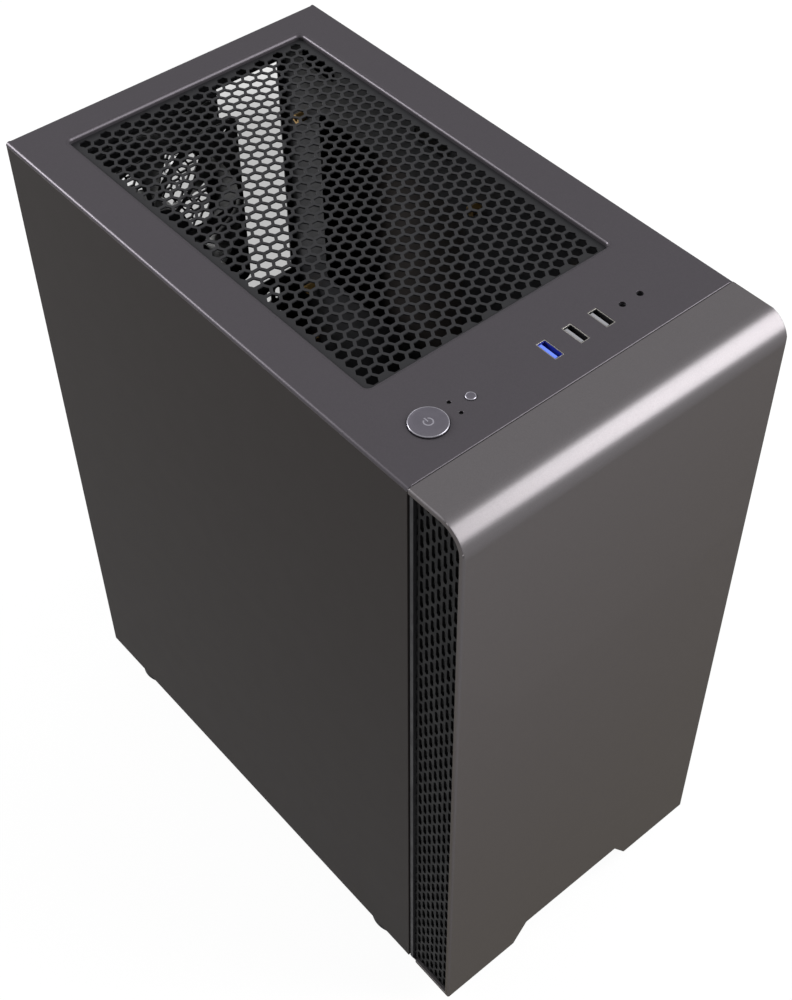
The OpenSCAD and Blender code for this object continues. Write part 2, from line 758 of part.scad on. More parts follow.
module side_panel() color(panel_grey) {
    hem = side_x - 6.8;
    box([side_x - sheet, panel_y, foot_h], [side_x, rear_y, panel_top]);
    for (z = [foot_h, panel_top - sheet])
        box([hem, panel_y, z], [side_x - sheet, rear_y - sheet, z + sheet]);
    box([hem, panel_y, foot_h + sheet], [side_x - sheet, panel_y + sheet, panel_top - sheet]);
    plate_y(rear_y - sheet, sheet) difference() {
        rect([side_x - 11, foot_h + 2], [side_x - sheet, top_z - 7.5]);
        for (h = thumb_h) translate([thumb_x, z_at(h)]) circle(thumb_r + gap);
    }
    for (y = hook_stations, z = [hook_low, hook_high]) panel_hook(y, z);
}

module right_panel() side_panel();
module left_panel() mirror([1, 0, 0]) side_panel();

module thumbscrew(side, h) color(bright_metal)
    translate([side * thumb_x, rear_y, z_at(h)]) rotate([-90, 0, 0]) {
        difference() {
            cylinder(h = knob_h, r = thumb_knob_r);
            for (a = [0:30:330])
                rotate(a) translate([thumb_knob_r + 0.2, 0, 1.2]) cylinder(h = knob_h, r = 0.6, $fn = 16);
            cross_recess(5, knob_h - 1.2);
        }
        translate([0, 0, -9]) cylinder(h = 9 + eps, r = thumb_r);
    }

module thumbscrew_left_upper() thumbscrew(-1, thumb_h[0]);
module thumbscrew_left_lower() thumbscrew(-1, thumb_h[1]);
module thumbscrew_right_upper() thumbscrew(1, thumb_h[0]);
module thumbscrew_right_lower() thumbscrew(1, thumb_h[1]);

// ---------------------------------------------------------------- base

module foot(side, d) color(plastic_black) translate([side * foot_x, y_at(d), 0]) rotate_extrude()
    polygon([[0, 4], [12.2, 4], [12.2, 1.5], [14.5, 1.5], [foot_r, 5], [foot_r, foot_h - 0.4],
        [8, foot_h - 0.4], [8, pan_z], [0, pan_z]]);

module pad(side, d) color(rubber_black) translate([side * foot_x, y_at(d), 0]) difference() {
    cylinder(h = 4, r = 12);
    for (r = [4, 8]) rotate_extrude() translate([r, 0]) circle(0.5, $fn = 16);
}

module foot_front_left() foot(-1, foot_d[0]);
module foot_front_right() foot(1, foot_d[0]);
module foot_rear_left() foot(-1, foot_d[1]);
module foot_rear_right() foot(1, foot_d[1]);
module pad_front_left() pad(-1, foot_d[0]);
module pad_front_right() pad(1, foot_d[0]);
module pad_rear_left() pad(-1, foot_d[1]);
module pad_rear_right() pad(1, foot_d[1]);

module psu_filter() color(plastic_black) {
    low = [-filter_x, y_at(filter_d[0])];
    high = [filter_x, y_at(filter_d[1])];
    plate_z(filter_z, filter_t) difference() {
        rect(low, high);
        for (x = [0:3], y = [0:4]) rect(
            low + [5 + x * 27.6, 5 + y * 29.6],
            low + [5 + x * 27.6 + 26, 5 + y * 29.6 + 28]
        );
    }
    plate_z(filter_z + 1, 0.6) rect(low + [1, 1], high - [1, 1]);
    box([-25, high.y - eps, filter_z], [25, high.y + 3, filter_z + 2]);
}

// ---------------------------------------------------------------- assembly

floor_pan();
front_plate();
rear_panel();
motherboard_tray();
upper_rail_left();
upper_rail_right();
top_panel();
top_mesh();
psu_shroud();
psu_pads();
drive_cage();
drive_sled_lower();
drive_sled_upper();
ssd_bracket();
cable_grommets();
standoffs();
chassis_rivets();
slot_cover_1();
slot_cover_2();
slot_cover_3();
slot_cover_4();
slot_ledge();
slot_screws();
fan_frame();
fan_rotor();
fan_guard();
fan_screws();
front_io_board();
usb_shells();
usb3_tongue();
usb2_tongues();
audio_jacks();
indicator_lenses();
power_switch();
reset_switch();
power_button();
reset_button();
front_bezel();
vent_left();
vent_right();
vent_filter_left();
vent_filter_right();
left_panel();
right_panel();
thumbscrew_left_upper();
thumbscrew_left_lower();
thumbscrew_right_upper();
thumbscrew_right_lower();
foot_front_left();
foot_front_right();
foot_rear_left();
foot_rear_right();
pad_front_left();
pad_front_right();
pad_rear_left();
pad_rear_right();
psu_filter();
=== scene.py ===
"""Finishes and fine detail of a mini-tower computer case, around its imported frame.

Every piece is in metres, in the frame's own axes: +X to the right seen from the front, -Y to the front and
+Z up.
"""

import json
import math

import bmesh
import bpy
from bpy.props import FloatProperty, FloatVectorProperty, PointerProperty
from mathutils import Matrix, Vector


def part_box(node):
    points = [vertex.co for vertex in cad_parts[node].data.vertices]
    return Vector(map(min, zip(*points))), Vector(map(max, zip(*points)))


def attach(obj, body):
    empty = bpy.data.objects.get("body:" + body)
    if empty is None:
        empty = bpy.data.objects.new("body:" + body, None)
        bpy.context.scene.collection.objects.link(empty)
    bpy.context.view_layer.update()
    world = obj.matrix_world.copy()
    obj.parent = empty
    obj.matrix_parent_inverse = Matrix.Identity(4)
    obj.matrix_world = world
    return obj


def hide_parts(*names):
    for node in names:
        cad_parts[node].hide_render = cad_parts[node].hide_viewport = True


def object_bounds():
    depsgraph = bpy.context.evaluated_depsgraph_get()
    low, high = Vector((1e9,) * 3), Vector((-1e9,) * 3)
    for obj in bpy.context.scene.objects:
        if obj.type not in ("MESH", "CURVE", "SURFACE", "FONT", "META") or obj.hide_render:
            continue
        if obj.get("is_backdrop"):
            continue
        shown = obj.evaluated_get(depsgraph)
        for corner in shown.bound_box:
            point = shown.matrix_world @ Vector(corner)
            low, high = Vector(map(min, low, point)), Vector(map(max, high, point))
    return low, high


bl_info = {
    "name": "Mini-tower case",
    "version": (1, 0, 0),
    "blender": (4, 5, 0),
    "location": "3D View > Sidebar > Case",
    "description": "Paints, plastics, contacts, threads and studio of a mini-tower computer case",
    "category": "Object",
}

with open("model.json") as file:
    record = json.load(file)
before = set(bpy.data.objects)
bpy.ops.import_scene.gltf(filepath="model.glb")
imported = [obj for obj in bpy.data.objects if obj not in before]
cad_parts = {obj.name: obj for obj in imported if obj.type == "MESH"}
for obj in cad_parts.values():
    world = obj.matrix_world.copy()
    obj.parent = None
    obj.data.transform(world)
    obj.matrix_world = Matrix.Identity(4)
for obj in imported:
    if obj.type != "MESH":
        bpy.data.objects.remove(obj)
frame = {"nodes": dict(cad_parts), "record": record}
CAD_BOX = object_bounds()
NODES = frame["nodes"]
SLOT_OF = {part["node"]: part["material_slot"] for part in frame["record"]["subparts"]}
BODY_OF = {node: body for body, nodes in frame["record"]["behaviour"]["bodies"].items() for node in nodes}
MM = 0.001
# Distances within which points count as one, as on a plane, and as near it.
SAME = 0.001 * MM
TOUCHING = 0.01 * MM
NEAR = 0.1 * MM
TO_REAR = Matrix.Rotation(math.radians(-90), 4, "X")


def linear(code):
    """The linear RGBA of an sRGB hex colour."""
    channels = [int(code[i : i + 2], 16) / 255 for i in (1, 3, 5)]
    return (*(c / 12.92 if c <= 0.04045 else ((c + 0.055) / 1.055) ** 2.4 for c in channels), 1.0)


def grey(value):
    """A linear grey."""
    return (value, value, value, 1.0)


def colour(name, code, what):
    """A colour property that starts from an sRGB hex value."""
    return FloatVectorProperty(
        name=name, description=what, subtype="COLOR", size=4, min=0, max=1, default=linear(code)
    )


def length(name, metres, what):
    """A length property in metres."""
    return FloatProperty(name=name, description=what, unit="LENGTH", default=metres, min=0)


def angle(name, degrees, what):
    """An angle property that starts from degrees."""
    return FloatProperty(name=name, description=what, subtype="ANGLE", default=math.radians(degrees))


def share(name, value, what):
    """A property between 0 and 1."""
    return FloatProperty(name=name, description=what, subtype="FACTOR", default=value, min=0, max=1)


# ---------------------------------------------------------------- settings


class CaseFinishes(bpy.types.PropertyGroup):
    """Colours of the painted, moulded and plated surfaces."""

    bezel: colour("Bezel lacquer", "#5f5c5e", "Metallic lacquer of the front bezel")
    top: colour("Top paint", "#474448", "Metallic paint of the top panel")
    side: colour("Side paint", "#353231", "Satin paint of the side panels")
    chassis: colour("Chassis powder coat", "#1e1e20", "Powder coat of the steel chassis")
    plastic: colour("Black plastic", "#0e0e0f", "Moulded plastic of the vents, fan, feet and sleds")
    button: colour("Button", "#59565e", "Satin face of the push buttons")
    rubber: colour("Rubber", "#1b1b1c", "Pads and cable grommets")
    mesh: colour("Filter mesh", "#151516", "Woven mesh of the dust filters")


class CaseSizes(bpy.types.PropertyGroup):
    """Sizes of the fine detail."""

    sheet_edge: length("Sheet edge", 0.28 * MM, "Rounding of the side panels' edges")
    fold_edge: length("Fold edge", 0.7 * MM, "Rounding of the top panel's front and rear folds")
    window_wall: length("Window wall", 1.2 * MM, "Thickness of the wall round the top panel's window")
    rim_roll: length("Rim roll", 2 * MM, "Radius of the rolled rim round the top panel's window")
    seam_edge: length("Seam edge", 0.12 * MM, "Rounding of the edges that meet in a seam")
    side_fold: length("Side fold", 3 * MM, "Reach of the top panel's side edges, which stay as drawn")
    control_strip: length("Control strip", 48 * MM, "Depth of the top panel's strip with the controls")
    window_border: length("Window border", 8 * MM, "Least distance from the window to the panel's edge")
    bezel_edge: length("Bezel edge", 0.4 * MM, "Rounding of the moulded bezel's edges")
    bezel_seam_edge: length("Bezel seam edge", 0.3 * MM, "Rounding of the bezel's edge at the top panel")
    bezel_curve: length("Bezel curve", 16 * MM, "Radius of the curve from the front to the top")
    bezel_wall: length("Bezel wall", 3.2 * MM, "Wall of the moulded bezel")
    button_rim: length("Button rim", 0.6 * MM, "Width of the bright turned rim of a button")
    mark_radius: length("Standby mark", 2.6 * MM, "Radius of the standby mark on the power button")
    mark_stroke: length("Mark stroke", 0.7 * MM, "Width of the standby mark's lines")
    thread_pitch: length("Thread pitch", 0.8 * MM, "Pitch of the screws' threads")
    weave_pitch: length("Weave pitch", 1.5 * MM, "Spacing of the bottom filter's threads, coarse to show")


class CaseStage(bpy.types.PropertyGroup):
    """Camera, floor and lamps."""

    camera_at: FloatVectorProperty(
        name="Camera",
        description="Place of the camera",
        subtype="XYZ",
        unit="LENGTH",
        default=(-0.4111, -0.5075, 0.9717),
    )
    azimuth: angle("Azimuth", -41.02, "Turn of the view from the front")
    elevation: angle("Elevation", 47.68, "Tilt of the view downwards")
    roll: angle("Roll", 0.18, "Roll of the camera")
    lens: FloatProperty(name="Lens", description="Focal length in millimetres", default=58.7, min=10)
    shift: FloatVectorProperty(
        name="Shift", description="Shift of the lens", size=2, default=(-0.02141, -0.0157)
    )
    key: FloatProperty(name="Key lamp", description="Radiance of the large soft lamp", default=10, min=0)
    rim: FloatProperty(name="Rim lamp", description="Radiance of the lamp behind the case", default=42, min=0)
    ambient: FloatProperty(name="Ambient", description="Strength of the room's light", default=0.35, min=0)
    # Floor shade is a painted shadow: the floor's own brightness falls to this value in an ellipse behind the
    # case.
    shade: share("Floor shade", 0.42, "Brightness of the floor close behind the case")
    shadow: share("Floor shadow", 0.08, "How much of the object's shadow the floor keeps")


# ---------------------------------------------------------------- building blocks


def add(tree, kind, links=None, **settings):
    """Adds a node; links gives each named or numbered input a value or another node's output."""
    new = tree.nodes.new(kind)
    for name, value in settings.items():
        setattr(new, name, value)
    for key, value in (links or {}).items():
        if isinstance(value, bpy.types.NodeSocket):
            tree.links.new(value, new.inputs[key])
        else:
            new.inputs[key].default_value = value
    return new


def shader_tree(name):
    """A new material, its tree and its Principled shader."""
    material = bpy.data.materials.new(name)
    material.use_nodes = True
    return material, material.node_tree, material.node_tree.nodes["Principled BSDF"]


def surface(name, base, metallic, roughness, **sockets):
    """A Principled material whose plain values sit on the shader's own sockets."""
    material, tree, shader = shader_tree(name)
    shader.inputs["Base Color"].default_value = base
    shader.inputs["Metallic"].default_value = metallic
    shader.inputs["Roughness"].default_value = roughness
    for key, value in sockets.items():
        shader.inputs[key.replace("_", " ")].default_value = value
    return material, tree, shader


def relief(tree, shader, pitch, depth, edge=0.0, stretch=(1, 1, 1)):
    """Fine grain of a pitch and depth on the shader's normal, over edges that a radius softens."""
    place = add(tree, "ShaderNodeTexCoord").outputs["Object"]
    spread = add(tree, "ShaderNodeMapping", {"Vector": place, "Scale": stretch}).outputs[0]
    grain = add(tree, "ShaderNodeTexNoise", {"Vector": spread, "Scale": 1 / pitch, "Detail": 2.0})
    bump = add(tree, "ShaderNodeBump", {"Height": grain.outputs[0], "Distance": depth, "Strength": 1.0})
    if edge:
        soft = add(tree, "ShaderNodeBevel", {"Radius": edge}, samples=4)
        tree.links.new(soft.outputs[0], bump.inputs["Normal"])
    tree.links.new(bump.outputs[0], shader.inputs["Normal"])


def mottle(tree, shader, socket, low, high, pitch):
    """Varies a socket between two values over patches of a pitch."""
    place = add(tree, "ShaderNodeTexCoord").outputs["Object"]
    patches = add(tree, "ShaderNodeTexNoise", {"Vector": place, "Scale": 1 / pitch, "Detail": 3.0})
    span = add(tree, "ShaderNodeMapRange", {0: patches.outputs[0], 1: 0.35, 2: 0.65, 3: low, 4: high})
    tree.links.new(span.outputs[0], shader.inputs[socket])


def flakes(tree, shader, base, pitch, lift):
    """Metal flakes of a pitch: each cell is a little lighter or darker than the paint round it."""
    place = add(tree, "ShaderNodeTexCoord").outputs["Object"]
    cells = add(tree, "ShaderNodeTexVoronoi", {"Vector": place, "Scale": 1 / pitch})
    value = add(tree, "ShaderNodeSeparateColor", {0: cells.outputs["Color"]})
    gain = add(tree, "ShaderNodeMapRange", {0: value.outputs[0], 1: 0.0, 2: 1.0, 3: 1 - lift, 4: 1 + lift})
    tone = add(tree, "ShaderNodeVectorMath", {0: base[:3], "Scale": gain.outputs[0]}, operation="SCALE")
    tree.links.new(tone.outputs[0], shader.inputs["Base Color"])


def place_piece(piece, body, slot, material=None, replaces=()):
    """Gives a finished piece its material and its body; its slot is not used."""
    if material:
        piece.data.materials.clear()
        piece.data.materials.append(material)
    if replaces:
        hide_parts(*replaces)
    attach(piece, body)


def mesh_piece(name, mesh):
    """An object at the origin that holds a mesh."""
    piece = bpy.data.objects.new(name, mesh)
    bpy.context.scene.collection.objects.link(piece)
    return piece


def as_mesh(name, shape):
    """The mesh of an edited shape, which is freed."""
    mesh = bpy.data.meshes.new(name)
    shape.to_mesh(mesh)
    shape.free()
    return mesh


def closed_mesh(name, shape):
    """The mesh of a closed shape, with its faces turned outwards."""
    bmesh.ops.recalc_face_normals(shape, faces=shape.faces)
    return as_mesh(name, shape)


def bridge(shape, first, second):
    """Faces between two closed rows of points."""
    for k in range(len(first)):
        n = (k + 1) % len(first)
        shape.faces.new((first[k], first[n], second[n], second[k]))


def merged(node):
    """An editable copy of a frame part: its triangles joined at their corners, its flat faces whole again."""
    shape = bmesh.new()
    shape.from_mesh(NODES[node].data)
    bmesh.ops.remove_doubles(shape, verts=shape.verts, dist=SAME)
    flat = math.radians(0.5)
    bmesh.ops.dissolve_limit(shape, angle_limit=flat, verts=shape.verts, edges=shape.edges)
    return shape


def softened(node, shape, radius, material, segments=2, softness=None):
    """Rounds a copy of a frame part's edges and puts it in the part's place; softness is an edge's share."""
    corner = math.radians(35)
    weights = shape.edges.layers.float.new("bevel_weight_edge")
    for edge in shape.edges:
        if len(edge.link_faces) == 2 and edge.calc_face_angle(0) > corner:
            edge[weights] = softness(edge) if softness else 1.0
    mesh = as_mesh(node + "_soft", shape)
    piece = mesh_piece(node + "_soft", mesh)
    bevel = piece.modifiers.new("Rounded edges", "BEVEL")
    bevel.width = radius
    bevel.segments = segments
    bevel.limit_method = "WEIGHT"
    bevel.use_clamp_overlap = False
    shading = piece.modifiers.new("Flat faces stay flat", "WEIGHTED_NORMAL")
    shading.weight = 90
    for face in mesh.polygons:
        face.use_smooth = True
    place_piece(piece, BODY_OF[node], SLOT_OF[node], material, [node])


def true_curve(shape, axis_y, axis_z, radii, steps=64):
    """Cuts a curve about a level axis, from the top to the front, into finer facets on its true radii."""
    axis = Vector((0, axis_y, axis_z))

    def inside(vert):
        return vert.co.y < axis_y + TOUCHING and vert.co.z > axis_z - TOUCHING

    for k in range(1, steps):
        turn = math.pi / 2 * k / steps
        faces = [face for face in shape.faces if all(inside(vert) for vert in face.verts)]
        around = {element for face in faces for element in (*face.verts, *face.edges)}
        cut = Vector((0, math.cos(turn), math.sin(turn)))
        bmesh.ops.bisect_plane(
            shape, geom=[*faces, *around], dist=SAME / 2, plane_co=axis, plane_no=cut
        )
    for vert in filter(inside, shape.verts):
        spoke = Vector((0, vert.co.y - axis_y, vert.co.z - axis_z))
        for radius in radii:
            if abs(spoke.length - radius) < NEAR / 2:
                vert.co += spoke * (radius / spoke.length - 1)


def paint_nodes(material, *names):
    """Gives frame parts a finish."""
    for name in names:
        mesh = NODES[name].data
        mesh.materials.clear()
        mesh.materials.append(material)


def lathe(name, profile, centre, steps=96, closed=False):
    """A solid of revolution about a vertical axis: its profile runs from axis to axis or closes on itself."""
    shape = bmesh.new()
    rings = []
    for radius, height in profile:
        if radius == 0:
            rings.append([shape.verts.new((centre[0], centre[1], height))])
            continue
        ring = []
        for k in range(steps):
            a = 2 * math.pi * k / steps
            x, y = centre[0] + radius * math.cos(a), centre[1] + radius * math.sin(a)
            ring.append(shape.verts.new((x, y, height)))
        rings.append(ring)
    for above, below in zip(rings, rings[1:] + (rings[:1] if closed else [])):
        for k in range(steps):
            n = (k + 1) % steps
            if len(above) == 1:
                shape.faces.new((above[0], below[k], below[n]))
            elif len(below) == 1:
                shape.faces.new((above[k], below[0], above[n]))
            else:
                shape.faces.new((above[k], below[k], below[n], above[n]))
    return closed_mesh(name, shape)


def grow_tree(name, inputs):
    """A geometry tree with named inputs, and the outputs of its Group Input."""
    tree = bpy.data.node_groups.new(name, "GeometryNodeTree")
    tree.interface.new_socket("Geometry", in_out="OUTPUT", socket_type="NodeSocketGeometry")
    for label, kind in inputs.items():
        tree.interface.new_socket(label, in_out="INPUT", socket_type="NodeSocket" + kind)
    return tree, add(tree, "NodeGroupInput").outputs


def close_tree(tree, geometry, material):
    """Ends a tree in Realize Instances and Set Material."""
    real = add(tree, "GeometryNodeRealizeInstances", {0: geometry})
    done = add(tree, "GeometryNodeSetMaterial", {"Geometry": real.outputs[0], "Material": material})
    add(tree, "NodeGroupOutput", {0: done.outputs[0]})


def grown(name, tree, values, place=Matrix.Identity(4)):
    """The plain mesh that a tree makes from its inputs, moved to its place."""
    host = mesh_piece(name, bpy.data.meshes.new(name))
    modifier = host.modifiers.new("Grow", "NODES")
    modifier.node_group = tree
    for item in tree.interface.items_tree:
        if item.in_out == "INPUT":
            modifier[item.identifier] = values[item.name]
    graph = bpy.context.evaluated_depsgraph_get()
    mesh = bpy.data.meshes.new_from_object(host.evaluated_get(graph), depsgraph=graph)
    host.modifiers.remove(modifier)
    mesh.transform(place)
    host.data = mesh
    return host


# ---------------------------------------------------------------- finishes


def metallic_lacquer(base):
    """Metallic lacquer on moulded ABS: aluminium flakes in a smooth film give curves a broad glow."""
    edge_tint = linear("#939083")
    material, tree, shader = surface(
        "metallic_lacquer", base, 0.82, 0.34, Specular_Tint=edge_tint, Specular_IOR_Level=0.1
    )
    # Real flakes are about 0.05 mm across: they are drawn coarser, so that they show.
    flakes(tree, shader, base, 0.35 * MM, 0.05)
    mottle(tree, shader, "Roughness", 0.335, 0.345, 14 * MM)
    relief(tree, shader, 0.9 * MM, 0.002 * MM)
    return material


def sheet_paint(name, base, metallic, roughness, edge_tint):
    """Sprayed paint on cold-rolled sheet: a slight orange peel breaks up its reflections."""
    material, tree, shader = surface(
        name, base, metallic, roughness, Specular_Tint=grey(edge_tint), Specular_IOR_Level=0.1
    )
    # Drawn coarser than the real flakes, as on the bezel.
    flakes(tree, shader, base, 0.4 * MM, 0.05)
    mottle(tree, shader, "Roughness", roughness - 0.01, roughness + 0.01, 18 * MM)
    relief(tree, shader, 1.1 * MM, 0.004 * MM)
    return material


def powder_coat(base):
    """Polyester powder baked on steel: satin black with a fine pebbled skin and soft edges."""
    material, tree, shader = surface("powder_coat", base, 0.0, 0.5, IOR=1.5, Specular_IOR_Level=0.15)
    mottle(tree, shader, "Roughness", 0.45, 0.58, 9 * MM)
    relief(tree, shader, 0.7 * MM, 0.02 * MM)
    return material


def moulded_abs(base):
    """ABS from a spark-eroded mould: a matt, even grain without gloss."""
    material, tree, shader = surface("moulded_abs", base, 0.0, 0.6, IOR=1.53, Specular_IOR_Level=0.06)
    mottle(tree, shader, "Roughness", 0.5, 0.62, 6 * MM)
    relief(tree, shader, 0.5 * MM, 0.02 * MM, edge=0.3 * MM)
    return material


def fan_plastic(base):
    """Glass-filled polyester of a fan: harder and glossier than the case's own plastic."""
    material, tree, shader = surface("fan_plastic", base, 0.0, 0.36, IOR=1.57)
    relief(tree, shader, 2.5 * MM, 0.015 * MM, edge=0.4 * MM)
    return material


def soft_rubber(name, base):
    """Vulcanised rubber: dull, faintly dusty and uneven."""
    material, tree, shader = surface(name, base, 0.0, 0.85, IOR=1.52)
    mottle(tree, shader, "Roughness", 0.78, 0.92, 4 * MM)
    relief(tree, shader, 0.6 * MM, 0.03 * MM, edge=0.5 * MM)
    return material


def zinc_plate(name="zinc_plate", tint="#b9bcc1"):
    """Bright zinc on machined steel: clouded, with fine turning marks."""
    material, tree, shader = surface(name, linear(tint), 1.0, 0.3)
    mottle(tree, shader, "Roughness", 0.22, 0.42, 2.5 * MM)
    relief(tree, shader, 0.25 * MM, 0.006 * MM, edge=0.2 * MM, stretch=(1, 6, 1))
    return material


def nickel_plate():
    """Nickel on drawn sheet: smooth and slightly warm."""
    material, tree, shader = surface("nickel_plate", linear("#8f8c88"), 1.0, 0.34)
    mottle(tree, shader, "Roughness", 0.3, 0.38, 2 * MM)
    relief(tree, shader, 0.4 * MM, 0.003 * MM, edge=0.1 * MM, stretch=(1, 1, 0.1))
    return material


def gold_flash():
    """Gold flash over nickel: a thin bright yellow film."""
    material, tree, shader = surface("gold_flash", linear("#e0bb62"), 1.0, 0.22)
    mottle(tree, shader, "Roughness", 0.18, 0.28, 1.2 * MM)
    return material


def turned_brass():
    """Free-cutting brass from the bar: fine rings left by the tool."""
    material, tree, shader = surface("turned_brass", linear("#8f7446"), 1.0, 0.4)
    mottle(tree, shader, "Roughness", 0.34, 0.46, 2 * MM)
    relief(tree, shader, 0.3 * MM, 0.008 * MM, edge=0.2 * MM, stretch=(6, 1, 1))
    return material


def turned_rim():
    """Aluminium cut bright with a diamond tool."""
    material, tree, shader = surface("turned_rim", linear("#85838a"), 1.0, 0.36)
    mottle(tree, shader, "Roughness", 0.32, 0.42, 1.5 * MM)
    return material


def printed_mark():
    """Pad-printed ink: a pale grey film with slightly uneven cover."""
    material, tree, shader = surface("printed_mark", linear("#706e76"), 0.0, 0.5, IOR=1.5)
    mottle(tree, shader, "Roughness", 0.42, 0.6, 0.8 * MM)
    return material


def spun_face(base, centre):
    """Anodised aluminium spun under fine abrasive: faint rings about the button's axis."""
    material, tree, shader = surface("spun_face", base, 0.8, 0.38)
    place = add(tree, "ShaderNodeTexCoord").outputs["Object"]
    local = add(tree, "ShaderNodeMapping", {"Vector": place, "Location": (-centre.x, -centre.y, 0)})
    # Real rings are about 0.1 mm apart: they are drawn coarser, so that they show.
    spacing = 2.2 * MM
    rings = add(
        tree,
        "ShaderNodeTexWave",
        {"Vector": local.outputs[0], "Scale": 1 / spacing, "Distortion": 1.5, "Detail": 2.0},
        wave_type="RINGS",
        rings_direction="Z",
    )
    groove = 0.006 * MM
    bump = add(tree, "ShaderNodeBump", {"Height": rings.outputs[1], "Distance": groove, "Strength": 1.0})
    tree.links.new(bump.outputs[0], shader.inputs["Normal"])
    mottle(tree, shader, "Roughness", 0.34, 0.44, 3 * MM)
    return material


def solder_mask():
    """Epoxy solder mask over etched copper: tracks show as lighter lines under a glossy film."""
    mask, track, spacing = linear("#0c2a1c"), linear("#2a5a3c"), 6 * MM
    material, tree, shader = surface("solder_mask", mask, 0.0, 0.25, IOR=1.55)
    place = add(tree, "ShaderNodeTexCoord").outputs["Object"]
    tracks = add(
        tree,
        "ShaderNodeTexBrick",
        {
            "Vector": place,
            "Scale": 1 / spacing,
            "Mortar Size": 0.03,
            "Color1": mask,
            "Color2": mask,
            "Mortar": track,
        },
    )
    tree.links.new(tracks.outputs[0], shader.inputs["Base Color"])
    return material


def dyed_nylon(name, code):
    """Dyed nylon of a socket's insert: saturated, slightly waxy."""
    material, tree, shader = surface(name, linear(code), 0.0, 0.35, IOR=1.53, Specular_IOR_Level=0.3)
    mottle(tree, shader, "Roughness", 0.3, 0.42, 2 * MM)
    relief(tree, shader, 0.4 * MM, 0.01 * MM, edge=0.15 * MM)
    return material


def smoked_lens():
    """Smoked polycarbonate light guide: dark until its lamp is on."""
    tint = linear("#060607")
    material, tree, shader = surface("smoked_lens", tint, 0.0, 0.3, IOR=1.58, Specular_IOR_Level=0.2)
    mottle(tree, shader, "Roughness", 0.25, 0.35, MM)
    return material


def woven_filter(base, pitch):
    """Woven polyamide: a square weave, each thread rounded, drawn coarser than the real 0.5 mm to show."""
    material, tree, shader = surface("woven_filter", base, 0.0, 0.7, IOR=1.53)
    place = add(tree, "ShaderNodeTexCoord").outputs["Object"]
    axes = add(tree, "ShaderNodeSeparateXYZ", {0: place})
    waves = []
    rate = 2 * math.pi / pitch
    for axis in range(3):
        turn = add(tree, "ShaderNodeMath", {0: axes.outputs[axis], 1: rate}, operation="MULTIPLY")
        waves.append(add(tree, "ShaderNodeMath", {0: turn.outputs[0]}, operation="SINE"))
    first = add(tree, "ShaderNodeMath", {0: waves[0].outputs[0], 1: waves[1].outputs[0]}, operation="ADD")
    weave = add(tree, "ShaderNodeMath", {0: first.outputs[0], 1: waves[2].outputs[0]}, operation="ADD")
    bump = add(tree, "ShaderNodeBump", {"Height": weave.outputs[0], "Distance": 0.08 * MM, "Strength": 1.0})
    tree.links.new(bump.outputs[0], shader.inputs["Normal"])
    mottle(tree, shader, "Roughness", 0.62, 0.8, 3 * MM)
    return material


# ---------------------------------------------------------------- pieces


class TOWER_OT_chassis(bpy.types.Operator):
    """Powder-coats the steel chassis and finishes what is screwed and pressed into it"""

    bl_idname = "tower.chassis"
    bl_label = "Chassis"

    def execute(self, context):
        finishes = context.scene.case_finishes
        coats = {
            "chassis_paint": powder_coat(finishes.chassis),
            "black_plastic": moulded_abs(finishes.plastic),
            "rubber": soft_rubber("soft_rubber", finishes.rubber),
            "bright_steel": zinc_plate(),
            "black_screws": zinc_plate("black_zinc", "#3a3b3e"),
            "brass": turned_brass(),
            "filter_mesh": woven_filter(finishes.mesh, MM),
            "circuit_board": solder_mask(),
            "usb_blue": dyed_nylon("blue_nylon", "#5a74d8"),
            "lens": smoked_lens(),
        }
        for slot, coat in coats.items():
            paint_nodes(coat, *(node for node in NODES if SLOT_OF[node] == slot))
        paint_nodes(nickel_plate(), "usb_shells")
        paint_nodes(dyed_nylon("grey_nylon", "#7a7a7e"), "usb2_tongues")
        paint_nodes(dyed_nylon("dark_nylon", "#39383c"), "audio_jacks")
        paint_nodes(fan_plastic(finishes.plastic), "fan_frame", "fan_rotor")
        return {"FINISHED"}


def window_loop(shape, low, high, front, border):
    """The points round the top panel's window on its upper edge, in order, each with its mitre inwards."""

    def on_rim(vert):
        inner = abs(vert.co.x) < high.x - border and low.y + front < vert.co.y < high.y - border
        return inner and vert.co.z > high.z - TOUCHING

    sharp = 1.0
    edges = [edge for edge in shape.edges if edge.calc_face_angle(0) > sharp]
    edges = [edge for edge in edges if all(map(on_rim, edge.verts))]
    vert = edges[0].verts[0]
    points = []
    while edges:
        edge = next(edge for edge in edges if vert in edge.verts)
        edges.remove(edge)
        points.append(vert.co.copy())
        vert = edge.other_vert(vert)
    centre = sum(points, Vector()) / len(points)
    loop = []
    for k, point in enumerate(points):
        runs = (point - points[k - 1], points[(k + 1) % len(points)] - point)
        sides = [Vector((-run.y, run.x, 0)).normalized() for run in runs]
        mitre = (sides[0] + sides[1]) / (1 + sides[0].dot(sides[1]))
        loop.append((point, mitre * math.copysign(1, mitre.dot(centre - point))))
    return loop


def widened(shape, loop, width, wall):
    """Moves both faces of the wall round an opening outwards, away from its loop."""
    for vert in shape.verts:
        point, mitre = min(loop, key=lambda near: (near[0].xy - vert.co.xy).length)
        if (point.xy - vert.co.xy).length < wall + NEAR:
            vert.co -= mitre * width


